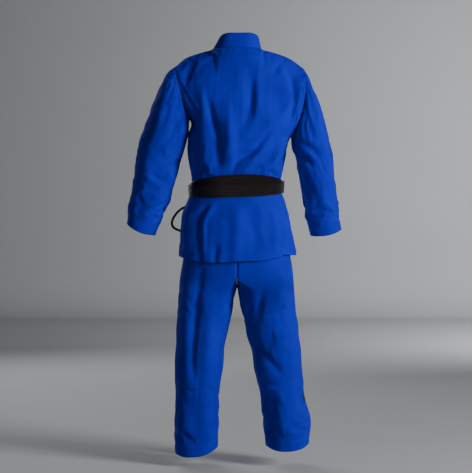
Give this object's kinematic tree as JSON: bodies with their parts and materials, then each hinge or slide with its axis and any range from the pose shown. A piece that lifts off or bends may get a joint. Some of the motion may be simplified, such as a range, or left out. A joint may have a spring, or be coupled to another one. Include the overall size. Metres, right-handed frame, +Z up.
{
  "type": "martial arts uniform",
  "caption": "Martial arts uniform with a wrapped woven jacket, a tied belt and drawstring trousers, hanging in the shape of the wearer with arms at its sides.",
  "frame": {"origin": "the point between the shoulders, just below the neck opening, where a hanger or a neck holds the uniform", "axes": "+Z up, front of the uniform towards -Y, +X towards the wearer's left"},
  "size_m": [0.7171, 0.3009, 1.422],
  "materials": {
    "jacket_cloth": "matte pearl weave",
    "lapel_cloth": "matte stitched drill",
    "collar_core": "moulded foam",
    "hem_tape": "matte twill",
    "belt_webbing": "stitched cotton",
    "patch_cloth": "matte twill",
    "trouser_cloth": "matte drill",
    "drawcord": "braided cord",
    "label": "woven label"
  },
  "bodies": {
    "jacket": {"back_panel": "jacket_cloth", "left_front_panel": "jacket_cloth", "right_front_panel": "jacket_cloth", "left_lapel": "lapel_cloth", "right_lapel": "lapel_cloth", "collar_cover": "lapel_cloth", "collar_core": "collar_core", "left_shoulder_cap": "jacket_cloth", "right_shoulder_cap": "jacket_cloth", "belt_inner_turn": "belt_webbing", "belt_outer_turn": "belt_webbing", "belt_knot": "belt_webbing"},
    "left_upper_arm": {"left_upper_sleeve": "jacket_cloth", "left_elbow_cloth": "jacket_cloth"},
    "left_forearm": {"left_lower_sleeve": "jacket_cloth", "left_cuff_tape": "hem_tape"},
    "right_upper_arm": {"right_upper_sleeve": "jacket_cloth", "right_elbow_cloth": "jacket_cloth"},
    "right_forearm": {"right_lower_sleeve": "jacket_cloth", "right_cuff_tape": "hem_tape"},
    "back_skirt": {"back_skirt_panel": "jacket_cloth", "back_skirt_hem_tape": "hem_tape", "left_vent_patch": "patch_cloth", "right_vent_patch": "patch_cloth"},
    "left_front_skirt": {"left_front_skirt_panel": "jacket_cloth", "left_front_skirt_hem_tape": "hem_tape"},
    "right_front_skirt": {"right_front_skirt_panel": "jacket_cloth", "right_front_skirt_hem_tape": "hem_tape"},
    "belt_left_end": {"belt_left_tail": "belt_webbing"},
    "belt_right_end": {"belt_right_tail": "belt_webbing"},
    "trousers": {"left_seat": "trouser_cloth", "right_seat": "trouser_cloth", "waistband": "trouser_cloth", "drawcord_run": "drawcord", "cord_loops": "trouser_cloth", "left_cord_patch": "patch_cloth", "right_cord_patch": "patch_cloth", "crotch_gusset": "trouser_cloth", "drawcord_loop": "drawcord", "left_hip_cloth": "trouser_cloth", "right_hip_cloth": "trouser_cloth"},
    "left_leg": {"left_thigh": "trouser_cloth", "left_knee_cloth": "trouser_cloth"},
    "left_lower_leg": {"left_shin": "trouser_cloth", "left_leg_tape": "hem_tape", "left_knee_panel": "patch_cloth"},
    "right_leg": {"right_thigh": "trouser_cloth", "right_knee_cloth": "trouser_cloth"},
    "right_lower_leg": {"right_shin": "trouser_cloth", "right_leg_tape": "hem_tape", "right_knee_panel": "patch_cloth", "leg_label": "label"}
  },
  "joints": [
    {"name": "left_shoulder", "type": "hinge", "parent": "jacket", "child": "left_upper_arm", "pos_m": [0.18, 0, -0.13], "axis": [0, -1, 0], "range_deg": [0, 75]},
    {"name": "left_elbow", "type": "hinge", "parent": "left_upper_arm", "child": "left_forearm", "pos_m": [0.2666, 0, -0.3872], "axis": [-0.9748, 0, -0.2233], "range_deg": [0, 90], "deforming": ["left_elbow_cloth"]},
    {"name": "right_shoulder", "type": "hinge", "parent": "jacket", "child": "right_upper_arm", "pos_m": [-0.18, 0, -0.13], "axis": [0, 1, 0], "range_deg": [0, 75]},
    {"name": "right_elbow", "type": "hinge", "parent": "right_upper_arm", "child": "right_forearm", "pos_m": [-0.2535, 0, -0.3912], "axis": [-0.9848, 0, 0.1736], "range_deg": [0, 90], "deforming": ["right_elbow_cloth"]},
    {"name": "trousers_down", "type": "slide", "parent": "jacket", "child": "trousers", "axis": [0, 0, -1], "range_m": [0, 0.3]},
    {"name": "left_hip", "type": "hinge", "parent": "trousers", "child": "left_leg", "pos_m": [0.1, 0, -0.77], "axis": [-1, 0, 0], "range_deg": [-15, 40], "deforming": ["left_hip_cloth"]},
    {"name": "left_knee", "type": "hinge", "parent": "left_leg", "child": "left_lower_leg", "pos_m": [0.122, 0, -1.03], "axis": [1, 0, 0], "range_deg": [0, 90], "deforming": ["left_knee_cloth"]},
    {"name": "right_hip", "type": "hinge", "parent": "trousers", "child": "right_leg", "pos_m": [-0.1, 0, -0.77], "axis": [-1, 0, 0], "range_deg": [-15, 40], "deforming": ["right_hip_cloth"]},
    {"name": "right_knee", "type": "hinge", "parent": "right_leg", "child": "right_lower_leg", "pos_m": [-0.135, 0, -1.03], "axis": [1, 0, 0], "range_deg": [0, 90], "deforming": ["right_knee_cloth"]},
    {"name": "back_skirt_lift", "type": "hinge", "parent": "jacket", "child": "back_skirt", "pos_m": [0, 0.118, -0.514], "axis": [1, 0, 0], "range_deg": [0, 25], "stiffness_Nm_per_rad": 0.3, "springref_deg": -20.05},
    {"name": "left_front_skirt_lift", "type": "hinge", "parent": "jacket", "child": "left_front_skirt", "pos_m": [0, -0.118, -0.514], "axis": [-1, 0, 0], "range_deg": [0, 25], "stiffness_Nm_per_rad": 0.3, "springref_deg": -20.05},
    {"name": "right_front_skirt_lift", "type": "hinge", "parent": "jacket", "child": "right_front_skirt", "pos_m": [0, -0.118, -0.514], "axis": [-1, 0, 0], "range_deg": [0, 16]},
    {"name": "belt_left_end_swing", "type": "hinge", "parent": "left_front_skirt", "child": "belt_left_end", "pos_m": [0.024, -0.1345, -0.511], "axis": [-1, 0, 0], "range_deg": [0, 60]},
    {"name": "belt_right_end_swing", "type": "hinge", "parent": "left_front_skirt", "child": "belt_right_end", "pos_m": [-0.024, -0.1345, -0.511], "axis": [-1, 0, 0], "range_deg": [0, 60]}
  ],
  "couplings": [
    {"joint": "right_front_skirt_lift", "follows": "left_front_skirt_lift", "ratio": 0.6}
  ]
}
